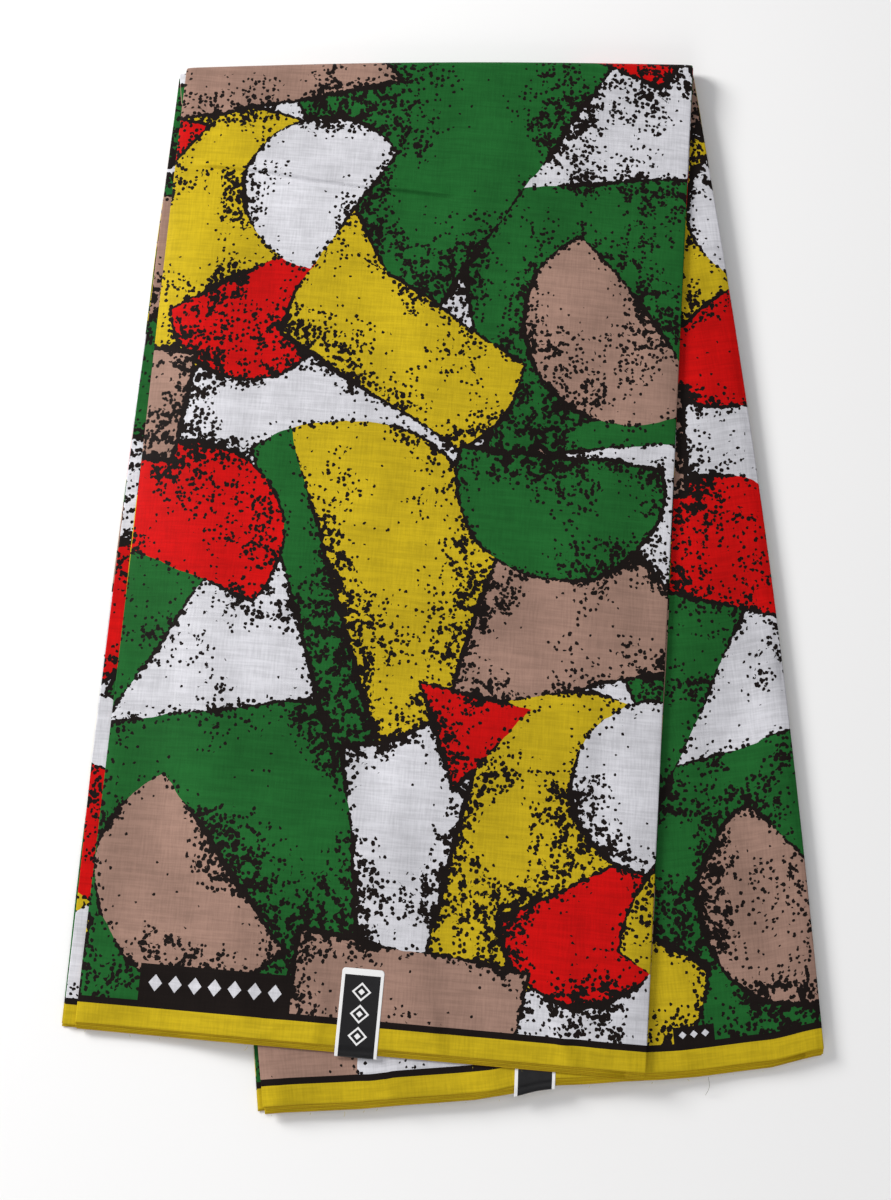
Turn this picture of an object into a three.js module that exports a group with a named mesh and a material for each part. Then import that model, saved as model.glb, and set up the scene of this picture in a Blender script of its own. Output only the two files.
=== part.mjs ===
// A folded length of African wax print cotton, lying flat.
//
// One uncut piece, 5.49 m long and 1.17 m between its selvedges, is folded zigzag into
// panels 300 mm wide, and the bundle is then folded in half across the top, so that both
// selvedges lie together at the foot. The half-way fold is a little askew, which fans the
// panels out: from the top down they are the front, right, left and back stacks. The front
// and back stacks are one bundle over the outer bend, and the right and left stacks are the
// bundle inside it. The hidden layers of each stack share one rounded solid, with grooves
// between its layers along the folded sides and steps at its hem.
//
// Millimetres. X runs along the top fold, Y points from the hem to the top fold, Z is up.

import * as THREE from 'three';

// One bundle of folded layers and the slit of air between two bundles.
const stackThickness = 3.0;
const seamGap = 0.3;
const stackPitch = stackThickness + seamGap;
const stackCount = 4;
const bundleHeight = stackCount * stackThickness + (stackCount - 1) * seamGap;

// The bends at the top fold share one axis at half the bundle's height.
const bendAxisHeight = bundleHeight / 2;
const outerBendInside = bendAxisHeight - stackThickness;
const innerBendInside = seamGap / 2;

// How the cloth settles where the stacks beneath it end.
const settleWidth = 60;

// The top fold bows slightly away from the hem between its two ends.
const foldLine = { leftY: -2.2, rightY: -0.3, bow: 2.6 };

// Layer grooves along the folded sides and steps at the hem, from the underside up.
// Inset is how far that level of the edge lies inside the panel's outline.
const edgeLevels = [
  { rise: 0.0, sideInset: 0.9, hemInset: 0.8 },
  { rise: 0.17, sideInset: 0.0, hemInset: 0.0 },
  { rise: 0.33, sideInset: 0.7, hemInset: 1.3 },
  { rise: 0.5, sideInset: 0.1, hemInset: 0.7 },
  { rise: 0.67, sideInset: 0.8, hemInset: 1.9 },
  { rise: 0.84, sideInset: 0.2, hemInset: 1.3 },
  { rise: 1.0, sideInset: 1.1, hemInset: 2.1 },
];

// Corners of each stack as it lies, from the left end of the top fold: where its sides
// meet the fold, and its two hem corners. Bows push the middle of an edge outwards.
// fineFrom and fineTo bound the part of its width that bends over an edge beneath it.
const panels = {
  front: {
    foldLeft: 1.2, foldRight: 299.6,
    hemLeft: { x: -42.9, y: -551.8 }, hemRight: { x: 258.6, y: -578.3 },
    leftBow: 0, rightBow: 0, fineFrom: 0, fineTo: 0.52,
  },
  right: {
    foldLeft: -2.9, foldRight: 300.2,
    hemLeft: { x: 58.8, y: -595.8 }, hemRight: { x: 354.5, y: -565.7 },
    leftBow: 0, rightBow: 6.5, fineFrom: 0.6, fineTo: 1,
  },
  left: {
    foldLeft: -3.4, foldRight: 299.7,
    hemLeft: { x: -50.5, y: -549.7 }, hemRight: { x: 248.3, y: -576.1 },
    leftBow: 2.5, rightBow: 0, fineFrom: 0, fineTo: 0.42,
  },
  back: {
    foldLeft: 2.4, foldRight: 300.8,
    hemLeft: { x: 55.0, y: -593.6 }, hemRight: { x: 351.0, y: -563.4 },
    leftBow: 0, rightBow: 0, fineFrom: 0, fineTo: 0,
  },
};

// The right stack's hem hangs in two shallow swags with a nick between them, which fade
// out towards the top fold with this power of the place along the stack.
const swagFade = 6;
const rightHemSwag = [
  { across: 0.0, drop: 0.0 },
  { across: 0.2, drop: 2.6 },
  { across: 0.4, drop: 4.0 },
  { across: 0.5, drop: 0.6 },
  { across: 0.6, drop: 2.2 },
  { across: 0.76, drop: 4.2 },
  { across: 0.9, drop: 3.4 },
  { across: 1.0, drop: 0.0 },
];

// The two stuck labels, seen from above: their corners clockwise from the top left, and the
// surface they are stuck on. Both run on to the edge of a hem, and only the first one's top
// corners show round.
const labelThickness = 0.5;
const labels = [
  {
    name: 'hem_label', on: bundleHeight, topRadius: 1.8,
    corners: [
      { x: 99.6, y: -518.6 }, { x: 121.9, y: -520.6 },
      { x: 117.8, y: -565.6 }, { x: 95.5, y: -563.6 },
    ],
  },
  {
    name: 'under_label', on: 3 * stackPitch - seamGap, topRadius: 0,
    corners: [
      { x: 190.4, y: -572.8 }, { x: 211.2, y: -574.6 },
      { x: 210.9, y: -580.7 }, { x: 190.0, y: -584.5 },
    ],
  },
];

// Mesh density: steps across the bending part and the flat part of a stack, and along it.
const fineColumns = 14;
const plainColumns = 5;
const longRows = 7;
const hemRows = 6;
const hemZone = 0.14;
const bendSteps = 8;

// The part's origin is the middle of the box that the bundle fills, on the surface it
// lies on: the left stack's hem corner and the right stack's hem corners reach furthest.
const foldCrown = (foldLine.leftY + foldLine.rightY) / 2 + foldLine.bow + bendAxisHeight;
const origin = {
  x: (panels.left.hemLeft.x + panels.right.hemRight.x) / 2,
  y: (panels.right.hemLeft.y + foldCrown) / 2,
};

const mix = (from, to, share) => from + (to - from) * share;
const bowShape = (share) => Math.sin(Math.PI * share);

const foldY = (across) => mix(foldLine.leftY, foldLine.rightY, across)
  + foldLine.bow * bowShape(across);

// Smooth value between the rows of a short table.
function tableValue(rows, place) {
  const last = rows.length - 1;
  const next = Math.max(1, rows.findIndex((row) => row.across >= place));
  const index = Math.min(next, last);
  const before = rows[index - 1];
  const after = rows[index];
  const share = (place - before.across) / (after.across - before.across);
  const eased = share * share * (3 - 2 * share);
  return mix(before.drop, after.drop, eased);
}

// Point of a stack's outline plan: across from its left side to its right, along from the
// top fold to the hem.
function planPoint(panel, across, along, hemSwag) {
  const left = {
    x: mix(panel.foldLeft, panel.hemLeft.x, along) - panel.leftBow * bowShape(along),
    y: mix(foldY(0), panel.hemLeft.y, along),
  };
  const right = {
    x: mix(panel.foldRight, panel.hemRight.x, along) + panel.rightBow * bowShape(along),
    y: mix(foldY(1), panel.hemRight.y, along),
  };
  const crown = foldY(across) - mix(foldY(0), foldY(1), across);
  const swag = hemSwag ? tableValue(hemSwag, across) * along ** swagFade : 0;
  return {
    x: mix(left.x, right.x, across),
    y: mix(left.y, right.y, across) + crown * (1 - along) - swag,
  };
}

// How far a point lies outside a stack's straight-sided outline, or 0 inside it.
function distanceOutside(panel, point) {
  const corners = [
    { x: panel.foldLeft, y: foldLine.leftY + bundleHeight },
    panel.hemLeft,
    panel.hemRight,
    { x: panel.foldRight, y: foldLine.rightY + bundleHeight },
  ];
  const sides = corners.slice(0, 3).map((from, index) => {
    const to = corners[index + 1];
    const length = Math.hypot(to.x - from.x, to.y - from.y);
    return ((point.x - from.x) * (to.y - from.y) - (point.y - from.y) * (to.x - from.x)) / length;
  });
  return Math.max(0, ...sides);
}

// Share of a stack's height that it still lends to the cloth above at a point.
function support(panel, point) {
  const share = Math.min(1, distanceOutside(panel, point) / settleWidth);
  return 1 - share * share * (3 - 2 * share);
}

const beneath = {
  back: [],
  left: [panels.back],
  right: [panels.back, panels.left],
  front: [panels.back, panels.left, panels.right],
};

function underside(name, point) {
  return beneath[name].reduce((height, panel) => height + stackPitch * support(panel, point), 0);
}

// Shares from 0 to 1, close together between two of them and further apart elsewhere.
function columnShares(panel) {
  const shares = [0];
  const addSteps = (from, to, steps) => {
    for (let step = 1; step <= steps && to > from; step += 1) {
      shares.push(mix(from, to, step / steps));
    }
  };
  addSteps(0, panel.fineFrom, plainColumns);
  addSteps(panel.fineFrom, panel.fineTo, fineColumns);
  addSteps(panel.fineTo, 1, plainColumns);
  return shares;
}

// Rows of a stack from its hem to the top fold, then round the bend if it has one.
function stackRows(withBend) {
  const rows = [];
  for (let step = 0; step < hemRows; step += 1) {
    rows.push({ along: 1 - hemZone * (step / hemRows), turn: 0 });
  }
  for (let step = 0; step <= longRows; step += 1) {
    rows.push({ along: (1 - hemZone) * (1 - step / longRows), turn: 0 });
  }
  for (let step = 1; withBend && step <= bendSteps; step += 1) {
    rows.push({ along: 0, turn: Math.PI * (step / bendSteps) });
  }
  return rows;
}

// Place of one point of a stack. The slant of the cloth carries it sideways round the bend
// as far as the stack that it runs into.
function stackPoint(name, shape, across, row, level) {
  const panel = panels[name];
  const inset = (2 * across - 1) * (across === 0 || across === 1 ? level.sideInset : 0);
  const plan = planPoint(panel, across, row.along, shape.hemSwag);
  const lift = underside(name, plan);
  const atHem = row.along === 1;
  if (row.along > 0) {
    return new THREE.Vector3(
      plan.x - inset,
      plan.y + (atHem ? level.hemInset : 0),
      lift + level.rise * stackThickness,
    );
  }
  if (!shape.bendInside) {
    return new THREE.Vector3(
      plan.x - inset,
      plan.y - seamGap,
      lift + level.rise * stackThickness,
    );
  }
  const radius = shape.bendInside + level.rise * stackThickness;
  const sidestep = panels[shape.runsInto].foldLeft - panel.foldLeft;
  return new THREE.Vector3(
    plan.x - inset + sidestep * (row.turn / Math.PI),
    plan.y + radius * Math.sin(row.turn),
    bendAxisHeight + radius * Math.cos(row.turn),
  );
}

// A closed solid over a grid of columns, rows and levels: only its outer faces are made.
function stackGeometry(name, shape) {
  const columns = columnShares(panels[name]);
  const rows = stackRows(Boolean(shape.bendInside));
  const size = [columns.length, rows.length, edgeLevels.length];
  const positions = [];
  const indexOf = new Map();
  const triangles = [];

  const vertex = (cell) => {
    const key = cell.join();
    if (!indexOf.has(key)) {
      const [column, row, level] = cell;
      const point = stackPoint(name, shape, columns[column], rows[row], edgeLevels[level]);
      indexOf.set(key, positions.length / 3);
      positions.push(point.x - origin.x, point.y - origin.y, point.z);
    }
    return indexOf.get(key);
  };

  // One face of the grid: axis is held at one end, and u and v run over the other two.
  const addFace = (axis, u, v, atEnd) => {
    for (let i = 0; i < size[u] - 1; i += 1) {
      for (let j = 0; j < size[v] - 1; j += 1) {
        const corner = (di, dj) => {
          const cell = [0, 0, 0];
          cell[axis] = atEnd ? size[axis] - 1 : 0;
          cell[u] = i + di;
          cell[v] = j + dj;
          return vertex(cell);
        };
        const quad = [corner(0, 0), corner(1, 0), corner(1, 1), corner(0, 1)];
        const [a, b, c, d] = atEnd ? quad : quad.reverse();
        triangles.push(a, b, c, a, c, d);
      }
    }
  };
  addFace(0, 1, 2, false);
  addFace(0, 1, 2, true);
  addFace(1, 2, 0, false);
  addFace(1, 2, 0, true);
  addFace(2, 0, 1, false);
  addFace(2, 0, 1, true);

  const geometry = new THREE.BufferGeometry();
  geometry.setAttribute('position', new THREE.Float32BufferAttribute(positions, 3));
  geometry.setIndex(triangles);
  geometry.computeVertexNormals();
  return geometry;
}

function stackMesh(nodeName, name, colour, shape) {
  const material = new THREE.MeshStandardMaterial({ color: colour, roughness: 0.8, metalness: 0 });
  const mesh = new THREE.Mesh(stackGeometry(name, shape), material);
  mesh.name = nodeName;
  return mesh;
}

// A flat label, a seam's gap above the cloth that it is stuck on.
function labelMesh({ name, on, topRadius, corners }) {
  const [topLeft, topRight, bottomRight, bottomLeft] = corners.map(
    ({ x, y }) => new THREE.Vector2(x - origin.x, y - origin.y),
  );
  const towards = (from, to) => to.clone().sub(from).setLength(topRadius).add(from);
  const outline = new THREE.Shape();
  const curveTo = (corner, end) => {
    if (topRadius > 0) {
      outline.quadraticCurveTo(corner.x, corner.y, end.x, end.y);
    }
  };
  const leftStart = towards(topLeft, bottomLeft);
  const topEnd = towards(topRight, topLeft);
  outline.moveTo(leftStart.x, leftStart.y);
  curveTo(topLeft, towards(topLeft, topRight));
  outline.lineTo(topEnd.x, topEnd.y);
  curveTo(topRight, towards(topRight, bottomRight));
  outline.lineTo(bottomRight.x, bottomRight.y);
  outline.lineTo(bottomLeft.x, bottomLeft.y);
  outline.closePath();
  const geometry = new THREE.ExtrudeGeometry(outline, {
    depth: labelThickness, bevelEnabled: false, curveSegments: 4,
  });
  const material = new THREE.MeshStandardMaterial({ color: '#15131a', roughness: 0.35 });
  const mesh = new THREE.Mesh(geometry, material);
  mesh.name = name;
  mesh.position.z = on + seamGap;
  return mesh;
}

const foldedCloth = new THREE.Group();
foldedCloth.add(
  stackMesh('back_stack', 'back', '#8b7164', {}),
  stackMesh('left_stack', 'left', '#b39b1a', {}),
  stackMesh('right_stack', 'right', '#1c4b24', {
    bendInside: innerBendInside,
    runsInto: 'left',
    hemSwag: rightHemSwag,
  }),
  stackMesh('front_stack', 'front', '#225826', {
    bendInside: outerBendInside,
    runsInto: 'back',
  }),
  ...labels.map(labelMesh),
);

export default foldedCloth;
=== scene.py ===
# A folded length of African wax print cotton lying flat: thin folded layers over the packed
# solids, a generic drawn print with selvedge borders, and two plain stuck labels.
import math
import bpy
import numpy as np
from mathutils import Matrix, Vector


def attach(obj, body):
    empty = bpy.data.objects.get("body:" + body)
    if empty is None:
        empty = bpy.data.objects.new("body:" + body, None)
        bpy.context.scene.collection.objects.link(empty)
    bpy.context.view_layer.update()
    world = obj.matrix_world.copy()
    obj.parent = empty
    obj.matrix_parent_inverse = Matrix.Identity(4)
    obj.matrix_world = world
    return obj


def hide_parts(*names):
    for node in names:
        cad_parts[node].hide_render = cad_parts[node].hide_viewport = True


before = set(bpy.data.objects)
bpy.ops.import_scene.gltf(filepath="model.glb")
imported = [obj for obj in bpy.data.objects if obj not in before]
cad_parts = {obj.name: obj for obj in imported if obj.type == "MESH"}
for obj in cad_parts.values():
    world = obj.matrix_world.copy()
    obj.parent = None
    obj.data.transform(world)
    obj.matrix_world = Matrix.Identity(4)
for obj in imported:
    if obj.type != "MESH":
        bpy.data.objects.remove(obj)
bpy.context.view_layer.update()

mm = 0.001
print("scene: the packed frame is loaded")


# The bundle, in millimetres from the left end of its top fold

bundle = {
    "stackThickness": 3.0,   # one stack of folded layers
    "seamGap": 0.3,          # air between two stacks
    "settleWidth": 60.0,     # how far the cloth takes to settle past an edge beneath it
    "foldLeftY": -2.2,       # the top fold's two ends and its bow away from the hem
    "foldRightY": -0.3,
    "foldBow": 2.6,
    "swagFade": 6,           # how fast the right hem's swags fade out up the stack
    "panelWidth": 300.0,
    "stackLength": 565.0,    # from the top fold to a hem
}
stackPitch = bundle["stackThickness"] + bundle["seamGap"]
bundleHeight = 4 * bundle["stackThickness"] + 3 * bundle["seamGap"]
bendAxis = bundleHeight / 2
outerBendInside = bendAxis - bundle["stackThickness"]
innerBendInside = bundle["seamGap"] / 2

# Where each stack meets the top fold and where its hem corners lie
panels = {
    "front": {"foldLeft": 1.2, "foldRight": 299.6, "hemLeft": (-42.9, -551.8),
              "hemRight": (258.6, -578.3), "leftBow": 0.0, "rightBow": 0.0, "swags": False},
    "right": {"foldLeft": -2.9, "foldRight": 300.2, "hemLeft": (58.8, -595.8),
              "hemRight": (354.5, -565.7), "leftBow": 0.0, "rightBow": 6.5, "swags": True},
    "left": {"foldLeft": -3.4, "foldRight": 299.7, "hemLeft": (-50.5, -549.7),
             "hemRight": (248.3, -576.1), "leftBow": 2.5, "rightBow": 0.0, "swags": False},
    "back": {"foldLeft": 2.4, "foldRight": 300.8, "hemLeft": (55.0, -593.6),
             "hemRight": (351.0, -563.4), "leftBow": 0.0, "rightBow": 0.0, "swags": False},
}
beneath = {"back": (), "left": ("back",), "right": ("back", "left"),
           "front": ("back", "left", "right")}

# The right hem hangs in two shallow swags: place across, drop
hemSwags = ((0.0, 0.0), (0.2, 2.6), (0.4, 4.0), (0.5, 0.6), (0.6, 2.2), (0.76, 4.2),
            (0.9, 3.4), (1.0, 0.0))

# The frame's origin, seen from the left end of the top fold
foldCrown = (bundle["foldLeftY"] + bundle["foldRightY"]) / 2 + bundle["foldBow"] + bendAxis
originX = (panels["left"]["hemLeft"][0] + panels["right"]["hemRight"][0]) / 2
originY = (panels["right"]["hemLeft"][1] + foldCrown) / 2


def mix(a, b, share):
    return a + (b - a) * share


def smooth(share):
    share = np.clip(share, 0.0, 1.0)
    return share * share * (3 - 2 * share)


def bowShape(share):
    return np.sin(np.pi * share)


def foldY(across):
    straight = mix(bundle["foldLeftY"], bundle["foldRightY"], across)
    return straight + bundle["foldBow"] * bowShape(across)


def hemSwag(across):
    drop = np.zeros_like(across)
    for (fromPlace, fromDrop), (toPlace, toDrop) in zip(hemSwags, hemSwags[1:]):
        inside = (across >= fromPlace) & (across <= toPlace)
        share = smooth((across - fromPlace) / (toPlace - fromPlace))
        drop = np.where(inside, mix(fromDrop, toDrop, share), drop)
    return drop


# Place on a stack's plan: across from left to right, along from the top fold to the hem
def planPoint(name, across, along):
    panel = panels[name]
    leftX = mix(panel["foldLeft"], panel["hemLeft"][0], along)
    leftX = leftX - panel["leftBow"] * bowShape(along)
    rightX = mix(panel["foldRight"], panel["hemRight"][0], along)
    rightX = rightX + panel["rightBow"] * bowShape(along)
    leftY = mix(bundle["foldLeftY"], panel["hemLeft"][1], along)
    rightY = mix(bundle["foldRightY"], panel["hemRight"][1], along)
    crown = foldY(across) - mix(bundle["foldLeftY"], bundle["foldRightY"], across)
    x = mix(leftX, rightX, across)
    y = mix(leftY, rightY, across) + crown * (1 - along)
    if panel["swags"]:
        y = y - hemSwag(across) * along ** bundle["swagFade"]
    return x, y


# The same the other way round, by steps, because a plan is nearly straight
def acrossAlong(name, x, y):
    across, along = np.full_like(x, 0.5), np.full_like(y, 0.5)
    for _ in range(12):
        nowX, nowY = planPoint(name, across, along)
        across = across + (x - nowX) / bundle["panelWidth"]
        along = along - (y - nowY) / bundle["stackLength"]
    return across, along


# How far a place lies outside a stack's left edge, hem or right edge
def distanceOutside(name, x, y):
    panel = panels[name]
    corners = ((panel["foldLeft"], bundle["foldLeftY"] + bundleHeight), panel["hemLeft"],
               panel["hemRight"], (panel["foldRight"], bundle["foldRightY"] + bundleHeight))
    outside = np.zeros_like(x)
    for (fromX, fromY), (toX, toY) in zip(corners, corners[1:]):
        length = math.hypot(toX - fromX, toY - fromY)
        side = (x - fromX) * (toY - fromY) - (y - fromY) * (toX - fromX)
        outside = np.maximum(outside, side / length)
    return outside


# How far a stack has settled past the edges of the stacks beneath it
def settleDrop(name, x, y):
    drop = np.zeros_like(x)
    for lower in beneath[name]:
        drop = drop + stackPitch * smooth(distanceOutside(lower, x, y) / bundle["settleWidth"])
    return drop


# Layers of cloth: a cross-section of the folds runs from hem to hem over the top bend.
# Level is the distance from the bundle's inner side, before the cloth settles.

layers = {
    "thickness": 0.24,       # drawn cloth, 0.28 mm with the air between layers
    "leafLevel": 2.88,       # middle of the outermost layer, whose face is at 3.0
    "flapLevel": 2.56,       # the leaf tucked under along its left fold
    "flapWidth": 12.0,
    "innerLevel": 2.25,      # the first layer under the leaf
    "pitch": 0.28,
    "pairs": 4,              # zigzag pairs of hidden panels in each stack
    "lap": 10.0,             # where one zigzag pair takes over from the next
    "leftFold": 0.45,        # how far the leaf's folds bulge, and the hidden ones
    "rightFold": 0.9,
    "hiddenFold": 0.5,
    "edgeSqueeze": 0.093,    # how much the folds are pressed down at the very edge
    "edgeSqueezeWidth": 2.5,
    "sideSpill": 0.9,        # how far a hidden fold may lie outside the leaf's fold
    "sideWander": 1.6,       # and how far inside it
    "hemWander": 0.5,
    "leafHem": 4.6,          # the leaf's hem stops this far short of its stack's
    "underLeafHem": 0.4,     # the same on its under side, and for the lowest layers
    "lowestHem": 0.3,
    "hemStep": 0.8,          # each hidden hem lies further out than the one above it
    "underRowStep": 10.0,    # mesh steps of the leaf's under side and of the hidden panels
    "hiddenRowStep": 14.0,
    "hiddenColumnStep": 20.0,
    "bendRows": 15,          # mesh rows round the top bend
}
# The two strips of cloth over the bend: the stacks they run through, the bend's inner radius,
# mesh steps, where the strip starts along the cloth, and bands of finer rows (from, to, step)
strips = {
    "outer": {"top": "front", "under": "back", "bendInside": outerBendInside,
              "columnStep": 3.0, "rowStep": 3.4, "clothStart": 0.0,
              "fineBands": ((2, 42, 1.6), (372, 398, 1.5), (470, 522, 1.4), (476, 508, 0.5))},
    "inner": {"top": "right", "under": "left", "bendInside": innerBendInside,
              "columnStep": 3.2, "rowStep": 3.2, "clothStart": 1020.0,
              "fineBands": ((2, 40, 1.6), (425, 455, 1.5))},
}


# Places along a stack: close together in the bands where pressed creases run across it
def bandedPlaces(start, end, step, bands):
    places = [start]
    while places[-1] < end:
        here = [fine for low, high, fine in bands if low <= places[-1] <= high]
        places.append(places[-1] + min(here + [step]))
    return np.array(places[:-1])


# Rows from the top stack's hem to the fold, round the bend and on to the lower hem
def stripRows(topStep, underStep, topInset, underInset, bands=()):
    nearHem = np.array([0.0, 1.2, 2.6, 4.4])
    length, bendRows = bundle["stackLength"], layers["bendRows"]
    topFlat = np.concatenate([topInset + nearHem,
                              bandedPlaces(topInset + 6, length - 1, topStep, bands)])
    underFlat = np.concatenate([underInset + nearHem,
                                np.arange(underInset + 8, length - 3, underStep)])
    along = np.concatenate([1 - topFlat / length, np.zeros(bendRows),
                            1 - underFlat[::-1] / length])
    turn = np.concatenate([np.zeros(len(topFlat)), np.linspace(0, np.pi, bendRows),
                           np.full(len(underFlat), np.pi)])
    return along, turn


# Points on the strip for columns (across, level) and rows (along, turn), in millimetres;
# relief shapes the face that shows, and the under side has pressed creases of its own
def stripPoints(strip, across, level, along, turn, relief=None):
    share = (turn / np.pi)[:, None]
    across, level = across[None, :], level[None, :]
    topX, topY = planPoint(strip["top"], across, np.where(share < 1, along[:, None], 0))
    underX, underY = planPoint(strip["under"], across, np.where(share > 0, along[:, None], 0))
    x, y = mix(topX, underX, share), mix(topY, underY, share)
    drop = mix(settleDrop(strip["top"], topX, topY),
               settleDrop(strip["under"], underX, underY), share)
    edge = np.minimum(np.abs(across), np.abs(1 - across)) * bundle["panelWidth"]
    press = 1 - layers["edgeSqueeze"] * np.exp(-(edge / layers["edgeSqueezeWidth"]) ** 2)
    radius = strip["bendInside"] + level * press
    if relief is not None:
        radius = radius + mix(relief(x, y), hiddenRelief(x, y), share)
    turned = turn[:, None]
    z = bendAxis + radius * np.cos(turned) - drop
    return np.stack([x - originX, y + radius * np.sin(turned) - originY, z], axis=-1)


# Lengths along the cloth down each column, so that the print isn't stretched
def clothLengths(points):
    steps = np.linalg.norm(np.diff(points, axis=0), axis=-1)
    return np.concatenate([np.zeros((1, points.shape[1])), np.cumsum(steps, axis=0)])


# The same from hem to hem: both selvedges lie at the cloth's edges, whatever the bend takes up
def hemToHem(points):
    lengths = clothLengths(points)
    return lengths * waxPrint["clothWidth"] / lengths[-1]


def newObject(name, data):
    made = bpy.data.objects.new(name, data)
    bpy.context.scene.collection.objects.link(made)
    return made


# A sheet from a grid of points, with its measures along the cloth as the UV map
def gridObject(name, points, u, v, material):
    rowCount, columnCount = points.shape[:2]
    index = np.arange(rowCount * columnCount).reshape(rowCount, columnCount)
    quads = np.stack([index[:-1, :-1], index[:-1, 1:], index[1:, 1:], index[1:, :-1]], axis=-1)
    quads = quads.reshape(-1, 4)
    mesh = bpy.data.meshes.new(name)
    mesh.from_pydata((points.reshape(-1, 3) * mm).tolist(), [], quads.tolist())
    uvLayer = mesh.uv_layers.new(name="UVMap")
    uv = np.stack([u, v], axis=-1).reshape(-1, 2) * mm
    uvLayer.data.foreach_set("uv", uv[quads.ravel()].astype(np.float32).ravel())
    mesh.polygons.foreach_set("use_smooth", np.ones(len(quads), dtype=bool))
    mesh.materials.append(material)
    return newObject(name, mesh)


def addAttribute(made, name, values):
    kind, field = ("FLOAT_VECTOR", "vector") if values.ndim == 3 else ("FLOAT", "value")
    attribute = made.data.attributes.new(name, kind, "POINT")
    attribute.data.foreach_set(field, np.ascontiguousarray(values, dtype=np.float32).ravel())


# Gives a piece its modifiers' result as a plain mesh
def settleModifiers(made):
    depsgraph = bpy.context.evaluated_depsgraph_get()
    mesh = bpy.data.meshes.new_from_object(
        made.evaluated_get(depsgraph), preserve_all_data_layers=True, depsgraph=depsgraph)
    made.modifiers.clear()
    made.data = mesh
    mesh.polygons.foreach_set("use_smooth", np.ones(len(mesh.polygons), dtype=bool))


def addThickness(made, thickness):
    solidify = made.modifiers.new("clothThickness", "SOLIDIFY")
    solidify.thickness = thickness * mm
    solidify.offset = 0
    solidify.use_rim = True


# Half a turn of an ellipse between two levels at a fold
def foldTurn(place, reach, fromLevel, toLevel, outward, steps):
    angle = np.linspace(0, np.pi, steps + 2)[1:-1]
    middle, half = (fromLevel + toLevel) / 2, (fromLevel - toLevel) / 2
    return place + outward * reach * np.sin(angle), middle + half * np.cos(angle)


# The outermost layer in cross-section: flap, left fold, face, right fold, tucked edge
def leafSection(step):
    width, left, right = bundle["panelWidth"], layers["leftFold"], layers["rightFold"]
    flap = np.array([layers["flapWidth"], 8.0, 5.0, 3.0, 1.5, left])
    leftTurn, leftLevel = foldTurn(left, left, layers["flapLevel"], layers["leafLevel"], -1, 5)
    nearEdge = np.array([left, 1.1, 1.9, 2.9, 4.2])
    face = np.concatenate([nearEdge, np.arange(6.0, width - 6.0, step),
                           width - np.array([4.6, 3.2, 2.2, 1.5, right])])
    rightTurn, rightLevel = foldTurn(width - right, right, layers["leafLevel"],
                                     layers["innerLevel"], 1, 7)
    tucked = width - np.array([right, 2.4, 4.5, layers["lap"]])
    place = np.concatenate([flap, leftTurn, face, rightTurn, tucked])
    level = np.concatenate([np.full(len(flap), layers["flapLevel"]), leftLevel,
                            np.full(len(face), layers["leafLevel"]), rightLevel,
                            np.full(len(tucked), layers["innerLevel"])])
    return place, level, len(flap) + len(leftTurn)


# Two hidden panels in cross-section, from where the leaf or the pair above hands over
def pairSection(step):
    width, lap, pitch = bundle["panelWidth"], layers["lap"], layers["pitch"]
    bulge = layers["hiddenFold"]
    upper, lower, last = (layers["innerLevel"] - pitch * count for count in (0, 1, 2))
    middle = np.arange(12.0, width - 12.0, step)
    nearLeft = np.array([bulge, 1.6, 3.6, 7.0])
    leftward = np.concatenate([[width - lap], middle[::-1], nearLeft[::-1]])
    leftTurn, leftLevel = foldTurn(bulge, bulge, upper, lower, -1, 4)
    nearRight = width - np.array([7.0, 3.6, 1.6, bulge])
    rightward = np.concatenate([nearLeft, middle, nearRight])
    rightTurn, rightLevel = foldTurn(width - bulge, bulge, lower, last, 1, 4)
    returning = width - np.array([bulge, 3.6, lap])
    place = np.concatenate([leftward, leftTurn, rightward, rightTurn, returning])
    level = np.concatenate([np.full(len(leftward), upper), leftLevel,
                            np.full(len(rightward), lower), rightLevel,
                            np.full(len(returning), last)])
    return place, level


def sectionLengths(place, level):
    steps = np.hypot(np.diff(place), np.diff(level))
    return np.concatenate([[0.0], np.cumsum(steps)])


# Colours and nodes

mathKind, vectorKind = "ShaderNodeMath", "ShaderNodeVectorMath"


def fromHex(code):
    channels = [int(code[i:i + 2], 16) / 255 for i in (1, 3, 5)]
    linear = [c / 12.92 if c <= 0.04045 else ((c + 0.055) / 1.055) ** 2.4 for c in channels]
    return (*linear, 1.0)


# Adds a node, or sets one that is there: a node or a socket in the settings is linked, and
# the rest are its properties and inputs
def addNode(tree, kind, settings):
    node = tree.nodes.new(kind) if isinstance(kind, str) else kind
    for key, value in settings.items():
        source = value.outputs[0] if isinstance(value, bpy.types.Node) else value
        if isinstance(source, bpy.types.NodeSocket):
            tree.links.new(source, node.inputs[key])
        elif isinstance(key, str) and hasattr(node, key):
            setattr(node, key, value)
        else:
            node.inputs[key].default_value = value
    return node


# Takes a value through several nodes of one kind: each step gives the operation and what else
# it needs
def addChain(tree, kind, value, *steps):
    for operation, *others in steps:
        value = addNode(tree, kind, {"operation": operation, **dict(enumerate([value, *others]))})
    return value


# A node tree with its named inputs and outputs, and the sockets where the inputs come in
def newTree(name, kind, inputs, outputs):
    tree = bpy.data.node_groups.new(name, kind)
    for way, sockets in (("INPUT", inputs), ("OUTPUT", outputs)):
        for label, socket in sockets.items():
            tree.interface.new_socket(name=label, in_out=way, socket_type="NodeSocket" + socket)
    return tree, tree.nodes.new("NodeGroupInput").outputs


# Every tree that makes a piece ends so
def finishTree(tree, geometry, material):
    whole = addNode(tree, "GeometryNodeRealizeInstances", {"Geometry": geometry})
    dyed = addNode(tree, "GeometryNodeSetMaterial", {"Geometry": whole, "Material": material})
    addNode(tree, "NodeGroupOutput", {"Geometry": dyed})
    return tree


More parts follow.
